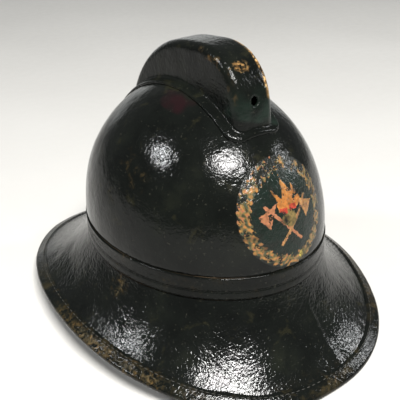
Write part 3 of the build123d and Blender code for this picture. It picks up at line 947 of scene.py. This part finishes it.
def make_crown_disc():
    """Leather disc that gathers the tongues, a little dished, with a lace hole in its middle."""
    radius = (disc_hi[0] - disc_lo[0]) / 2
    columns = 96
    thickness = disc_hi[2] - disc_lo[2]
    reaches = [0.10, 0.12, 0.2, 0.35, 0.5, 0.65, 0.8, 0.9, 0.96, 0.99, 1.0]
    profile = [(r, thickness - 0.2 * MM * (r > 0.97) * (r - 0.97) * 60) for r in reaches]
    profile += [(1.0, 0.3 * thickness)] + [(r, 0.0) for r in reversed(reaches)]
    points = []
    for column in range(columns):
        turn = 2 * math.pi * column / columns
        for reach, height in profile:
            spot = oval_wall(turn, radius * reach, radius * reach)[0]
            spot.z = disc_lo[2] + height
            spot.z += 0.25 * MM * noise.noise(spot / (9 * MM)) - 0.5 * MM * reach**2
            points.append(spot)
    faces = grid_faces(columns, len(profile), wrap_rows=True, wrap_columns=True)
    disc = new_piece("crown_disc_leather", points, faces, LINING_MATERIAL)
    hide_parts("crown_disc")


make_crown_disc()

rivet_lo, rivet_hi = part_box("headband_rivets")
rivet_level = (rivet_lo[2] + rivet_hi[2]) / 2
band_places = []
for spacer_angle in SPACER_ANGLES:
    rivet_spot, wall_normal = head_wall(spacer_angle, rivet_level, -0.15 * MM)
    band_places.append((rivet_spot, -wall_normal))
headband_rivets = rivet_group("headband_rivet_heads", band_places, 3.5 * MM, 1.25 * MM, 12 * MM)
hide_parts("headband_rivets")

tongue_places = []
for tongue_number in range(1, TONGUE_COUNT + 1):
    turn = math.radians((tongue_number - 0.5) * 360 / TONGUE_COUNT)
    middle = Vector((0, HEAD_Y, 0))
    outwards = oval_wall(turn, LINER_HALF_WIDTH, LINER_HALF_LENGTH)[0] - middle
    rivet_spot = middle + outwards.normalized() * TONGUE_RIVET_CIRCLE
    rivet_spot.z = disc_lo[2] - 2.9 * MM
    tongue_places.append((rivet_spot, Vector((0, 0, -1))))
tongue_rivets = rivet_group("tongue_rivet_heads", tongue_places, 2.8 * MM, 1.0 * MM, 5.5 * MM)
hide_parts("tongue_rivets")

# ---- chin strap tabs
tab_rivet_lo, tab_rivet_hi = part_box("tab_rivets")
tab_level = (tab_rivet_lo[2] + tab_rivet_hi[2]) / 2
tab_places = []
for hand, side in (("left", 1), ("right", -1)):
    node = f"strap_tab_{hand}"
    name = f"strap_tab_leather_{hand}"
    tab = remeshed_copy(name, node, 0.3 * MM, 4, LINING_MATERIAL)
    push_out(tab, lambda spot: ripple(spot, 3 * MM, 0.05 * MM, 500))
    tab_lo, tab_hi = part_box(node)
    inner_x = tab_hi[0] - TAB_THICKNESS if side > 0 else tab_lo[0] + TAB_THICKNESS
    tab_places.append((Vector((inner_x, HEAD_Y, tab_level)), Vector((-side, 0, 0))))
    places = []
    for row in range(2):
        for step in range(5):
            level = tab_level - 7 * MM - row * 3.2 * MM
            spot = Vector((inner_x, HEAD_Y + (step - 2) * 2.6 * MM, level))
            places.append((spot, Vector((0, 1, 0)), Vector((-side, 0, 0))))
    row = stitches(f"strap_tab_stitches_{hand}", places, 1.8 * MM, 0.28 * MM, LINEN_MATERIAL)
tab_rivets = rivet_group("tab_rivet_heads", tab_places, 3.5 * MM, 1.2 * MM, 6 * MM)
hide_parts("tab_rivets")


# ---- painted badge
BADGE_RADIUS = 38.2 * MM
BADGE_CENTRE = CROWN_BASE + 39.2 * MM
PAINT_THICKNESS = 0.14 * MM
PAINT_BURIAL = 0.12 * MM

GROUND = (0.005, 0.010, 0.0075)
WORN_BLACK = (0.007, 0.008, 0.0065)
ORANGE = (0.30, 0.11, 0.027)
GOLD = (0.25, 0.15, 0.048)
PINK = (0.27, 0.095, 0.06)
TEAL = (0.02, 0.055, 0.046)
SALMON = (0.28, 0.11, 0.055)
RED = (0.30, 0.03, 0.02)
YELLOW = (0.42, 0.32, 0.05)
OLIVE = (0.12, 0.09, 0.032)

WREATH_RADIUS = 32.6  # mm, as are the sizes below
GROUND_RADIUS = 29.0


def blend_colour(first, second, share):
    share = clamp(share)
    return tuple(a + (b - a) * share for a, b in zip(first, second))


def line_distance(x, z, start, end):
    """Distance in mm from a point to a straight line's stretch."""
    dx, dz = end[0] - start[0], end[1] - start[1]
    along = clamp(((x - start[0]) * dx + (z - start[1]) * dz) / (dx * dx + dz * dz))
    return math.hypot(x - start[0] - along * dx, z - start[1] - along * dz)


def in_flame(x, z):
    """Three licks of flame that rise from a common bed, in mm about the badge's centre."""
    licks = ((-5.0, (-8.5, 19.0), 4.2), (0.5, (1.0, 27.0), 6.4), (6.0, (9.5, 20.0), 4.2))
    for foot, tip, width in licks:
        share = (z - 4.0) / (tip[1] - 4.0)
        if not 0 <= share <= 1:
            continue
        bend = math.sin(share * math.pi * 1.6) * 1.6
        middle = foot + (tip[0] - foot) * share + bend
        belly = 0.75 + 0.5 * math.sin(math.pi * min(1.0, share * 1.6))
        half = width * (1 - share) ** 0.75 * belly
        if abs(x - middle) < half:
            return True
    return False


def in_axe(x, z, side):
    """A fireman's axe: a slanting shaft with a broad blade and a pick at its upper end."""
    if line_distance(x, z, (-9.0 * side, -19.0), (18.0 * side, 9.0)) < 1.1:
        return True
    # The head's own axes: up the shaft, and across it.
    up_x, up_z = 27.0 * side / 38.9, 28.0 / 38.9
    px, pz = x - 14.0 * side, z - 5.0
    up = px * up_x + pz * up_z
    across = (px * up_z - pz * up_x) * side
    blade = 0 <= across <= 9.5 and abs(up) < 2.2 + 0.42 * across
    pick = -7.5 <= across < 0 and abs(up) < 2.2 * (1 + across / 7.5)
    return blade or pick


def wreath_paint(x, z, mottle, fine, lost):
    """Colour of the wreath at a place, or None off its leaves. It fades towards its open top."""
    reach = math.hypot(x, z)
    turn = math.atan2(x, z)
    offset = reach - WREATH_RADIUS - 0.7 * math.sin(turn * 3)
    fading = clamp((z - 10) / 30) + (0.25 if x > 0 and z > -18 else 0.0)
    leaf = math.cos(turn * 38 + 1.1 * offset * math.copysign(1, turn))
    if abs(offset) > 4.9 * (0.82 + 0.18 * leaf) or lost > 0.34 - 0.62 * fading:
        return None
    if mottle > 0.2:
        colour = blend_colour(ORANGE, GOLD, 0.4 + fine)
    elif mottle > 0.02:
        colour = blend_colour(PINK, ORANGE, 0.35 + fine)
    elif mottle > -0.2:
        colour = blend_colour(OLIVE, GOLD, 0.25 + fine)
    else:
        colour = blend_colour(TEAL, OLIVE, 0.3 + fine)
    if leaf < -0.2:
        shade = OLIVE if mottle > -0.1 else WORN_BLACK
        colour = blend_colour(colour, shade, 0.65 + 0.3 * fine)
    return blend_colour(colour, OLIVE, 0.55 if x > 6 else 0.25)


def badge_paint(x, z):
    """Colour and thickness of the badge's paint at a place, in mm about its centre."""
    spot = Vector((x, z, 0))
    x += 0.7 * noise.noise(spot / 1.9)
    z += 0.7 * noise.noise(spot / 1.9 + Vector((9, 0, 0)))
    reach = math.hypot(x, z)
    mottle = noise.noise(spot / 2.4 + Vector((3, 5, 0)))
    fine = noise.noise(spot / 1.0 + Vector((17, 2, 0)))
    lost = noise.noise(spot / 4.5 + Vector((0, 31, 0))) + 0.6 * fine
    colour, thick = (GROUND, 0.2) if reach < GROUND_RADIUS else (WORN_BLACK, 0.1)
    wreath = wreath_paint(x, z, mottle, fine, lost)
    if wreath is not None:
        colour, thick = wreath, 1.0
    # Knot of the wreath's tie, low on the wearer's left.
    if math.hypot((x - 9.5) / 1.25, z + 31.5) < 3.0 and lost < 0.3:
        colour, thick = blend_colour(YELLOW, OLIVE, 0.3 + fine), 1.2
    for side in (-1, 1):
        if in_axe(x, z, side) and lost < 0.34:
            colour = blend_colour(SALMON, GOLD, 0.3 * side + 0.25 + fine)
            thick = 1.0
    # Embers under the flame.
    if math.hypot(x / 6.2, (z + 1.0) / 6.8) < 1 and lost < 0.4:
        colour, thick = blend_colour(OLIVE, GOLD, 0.15 + 0.5 * fine), 0.8
    if in_flame(x, z) and lost < 0.36:
        colour = blend_colour(ORANGE, GOLD, (z - 10) / 26 + fine * 0.9)
        thick = 1.1
    for side in (-1, 1):
        if abs(x - side * 4.2) < 3.2 and abs(z - 4.4 - 0.6 * side) < 2.0 and lost < 0.4:
            colour, thick = blend_colour(RED, ORANGE, 0.1 + 0.5 * fine), 1.1
    dirt = max(0.0, noise.noise(spot / 7 + Vector((51, 0, 0))))
    colour = blend_colour(colour, WORN_BLACK, 0.22 + 0.9 * dirt - 0.4 * mottle)
    return colour, thick


def badge_material(name):
    n = Nodes(name)
    paint = n.attribute("paint")
    chips = n.steps(n.noise(700, 4, 0.6), 0.55, 0.66)
    colour = n.mix(n.maths("MULTIPLY", chips, 0.35), paint, (0.02, 0.02, 0.016))
    rough = n.steps(n.noise(120, 5, 0.6), 0.3, 0.7, 0.16, 0.34)
    grain = n.bump(n.noise(260, 2, 0.5, 0.2), 0.0002, 0.9)
    pebbles = n.bump(n.noise(520, 2, 0.6), 0.00022, 0.9, grain)
    craze = n.bump(n.steps(n.voronoi(300, "DISTANCE_TO_EDGE"), 0, 0.1), 0.00012, 0.6, pebbles)
    return n.finish(colour, rough, craze, Specular_IOR_Level=0.2)


def make_badge():
    """Paint film that follows the dome's front, thicker where the device is painted."""
    rings, columns = 170, 420
    points, colours = [], []
    for layer in (0, 1):
        for ring in range(1, rings + 1):
            reach = BADGE_RADIUS * ring / rings
            for column in range(columns):
                turn = 2 * math.pi * column / columns
                x, drop = reach * math.sin(turn), reach * math.cos(turn)
                level = BADGE_CENTRE + drop
                rise = (level - CROWN_BASE) / DOME_HEIGHT
                inside = max(0.0, 1 - rise**DOME_POWER - (x / HALF_WIDTH) ** 2)
                spot = Vector((x, HEAD_Y - HALF_LENGTH * math.sqrt(inside), level))
                colour, thick = badge_paint(x / MM, drop / MM)
                lift = SKIN_LIFT + dome_relief(spot)
                if layer:
                    lift -= 0.4 * MM
                else:
                    rim = min(1.0, (rings - ring) / 3)
                    lift += (PAINT_BURIAL + PAINT_THICKNESS * thick) * rim - PAINT_BURIAL
                points.append(spot + dome_normal(spot) * lift)
                colours.append((*colour, 1.0))
    count = rings * columns
    last = (rings - 1) * columns
    outer = grid_faces(rings, columns, wrap_columns=True)
    outer.append(tuple(range(columns))[::-1])
    faces = closed_skin(outer, list(range(last, count)), count)
    badge = plain_piece("badge_paint", points, faces, badge_material("badge_paint"))
    layer = badge.data.color_attributes.new(name="paint", type="FLOAT_COLOR", domain="POINT")
    layer.data.foreach_set("color", np.array(colours, dtype=np.float32).ravel())


make_badge()


# ---- CAD nodes that stay
def give_material(node, material):
    """Put a material on a node's own mesh."""
    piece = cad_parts[node]
    for slot in piece.material_slots:
        slot.material = material
    if not piece.material_slots:
        piece.data.materials.append(material)


give_material("crown_shell", INNER_MATERIAL)
for spacer_number in range(1, len(SPACER_ANGLES) + 1):
    give_material(f"cork_spacer_{spacer_number}", CORK_MATERIAL)
for hand in ("left", "right"):
    give_material(f"strap_ring_{hand}", BRASS_MATERIAL)


# ---- floor, lights and camera
FLOOR_SIZE = 6.0
floor_mesh = bpy.data.meshes.new("floor")
floor_mesh.from_pydata(
    [(FLOOR_SIZE * x, FLOOR_SIZE * y, 0) for x, y in ((-1, -1), (1, -1), (1, 1), (-1, 1))],
    [],
    [(0, 1, 2, 3)],
)
floor_mesh.materials.append(FLOOR_MATERIAL)
floor = bpy.data.objects.new("floor", floor_mesh)
floor.location.z = min(front_lo[2], rear_lo[2]) - 1.2 * MM
bpy.context.scene.collection.objects.link(floor)

LIGHT_TARGET = Vector((0, HEAD_Y, CROWN_BASE + 0.6 * DOME_HEIGHT))


def window_light(name, azimuth, elevation, distance, width, height, power, colour):
    """Softbox that faces the helmet, by its direction from it and its distance."""
    towards = heading(azimuth, elevation)
    lamp = bpy.data.lights.new(name, "AREA")
    lamp.shape = "RECTANGLE"
    lamp.size, lamp.size_y = width, height
    lamp.energy = power
    lamp.color = colour
    light = bpy.data.objects.new(name, lamp)
    light.location = LIGHT_TARGET + towards * distance
    light.rotation_euler = towards.to_track_quat("Z", "Y").to_euler()
    bpy.context.scene.collection.objects.link(light)


window_light("window_front", -18, 54, 2.2, 0.88, 0.38, 138, (1.0, 0.99, 0.97))
window_light("window_right", -111, 38, 2.2, 0.36, 0.10, 24, (0.97, 0.99, 1.0))
window_light("window_left", 64, 24, 2.2, 0.18, 0.5, 16, (0.97, 0.99, 1.0))
window_light("pale_wall", 150, 4, 2.6, 3.2, 0.9, 7, (0.97, 0.99, 0.97))

world = bpy.data.worlds.new("studio")
world.use_nodes = True
sky = world.node_tree.nodes["Background"]
sky.inputs["Color"].default_value = (0.80, 0.82, 0.82, 1)
sky.inputs["Strength"].default_value = 0.2
bpy.context.scene.world = world
bpy.context.scene.view_settings.view_transform = "Standard"

CAMERA_TURN = -35.48  # degrees from the helmet's front, negative towards the wearer's right
CAMERA_LIFT = 27.42
CAMERA_ROLL = 1.01
CAMERA_DISTANCE = 0.5433
CAMERA_TARGET = Vector((0, HEAD_Y, 0.091))
back = heading(CAMERA_TURN, CAMERA_LIFT)
turn = math.radians(CAMERA_TURN)
right = Vector((math.cos(turn), math.sin(turn), 0))
above = back.cross(right)
roll = math.radians(CAMERA_ROLL)
rolled_right = right * math.cos(roll) - above * math.sin(roll)
rolled_above = above * math.cos(roll) + right * math.sin(roll)
lens = bpy.data.cameras.new("camera")
lens.lens = 57.96
lens.sensor_width = 36
lens.shift_x = -0.0031
lens.shift_y = 0.0008
lens.clip_start = 0.01
camera = bpy.data.objects.new("camera", lens)
place = Matrix((rolled_right, rolled_above, back)).transposed().to_4x4()
place.translation = CAMERA_TARGET + back * CAMERA_DISTANCE
camera.matrix_world = place
bpy.context.scene.collection.objects.link(camera)
bpy.context.scene.camera = camera
